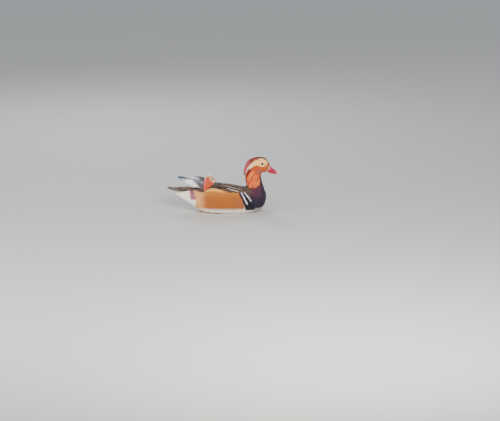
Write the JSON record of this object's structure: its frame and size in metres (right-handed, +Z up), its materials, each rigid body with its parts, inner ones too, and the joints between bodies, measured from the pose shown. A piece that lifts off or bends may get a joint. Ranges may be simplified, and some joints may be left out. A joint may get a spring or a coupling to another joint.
{
  "type": "mandarin duck",
  "caption": "Life-size male mandarin duck resting on its belly as it floats: upright neck with ruff and crest, raised sail feathers, wing tips over the tail, feet tucked under.",
  "frame": {"origin": "on the floor under the middle of the whole bird, halfway between bill tip and tail tip", "axes": "+X towards the bill, +Y towards the bird's left side, +Z up"},
  "size_m": [0.3802, 0.1278, 0.1885],
  "materials": {
    "flank_feathers": "soft body feathers, golden flanks, purple breast, white belly",
    "ruff_feathers": "long pointed orange hackles with pale shafts",
    "face_feathers": "short cream and buff feathers, coppery red crest",
    "tail_feathers": "dark olive brown tail feathers with a slight gloss",
    "wing_feathers": "olive brown coverts, green and blue speculum with white tips",
    "flight_feathers": "grey brown primaries with silvery white outer edges and blue green tips",
    "sail_feathers": "broad orange vane with a cream margin and dark blue outer edge",
    "bill": "smooth red horn with a pinkish white nail",
    "eye": "wet dark brown",
    "foot_skin": "scaled orange skin with dark webs"
  },
  "bodies": {
    "root": {"torso": "flank_feathers", "neck": "ruff_feathers", "head": "face_feathers", "tail": "tail_feathers", "bill_upper": "bill", "bill_lower": "bill", "eye_right": "eye", "wing_right": "wing_feathers", "wing_tip_right": "flight_feathers", "sail_right": "sail_feathers", "leg_right": "foot_skin", "foot_right": "foot_skin", "eye_left": "eye", "wing_left": "wing_feathers", "wing_tip_left": "flight_feathers", "sail_left": "sail_feathers", "leg_left": "foot_skin", "foot_left": "foot_skin"}
  },
  "joints": []
}
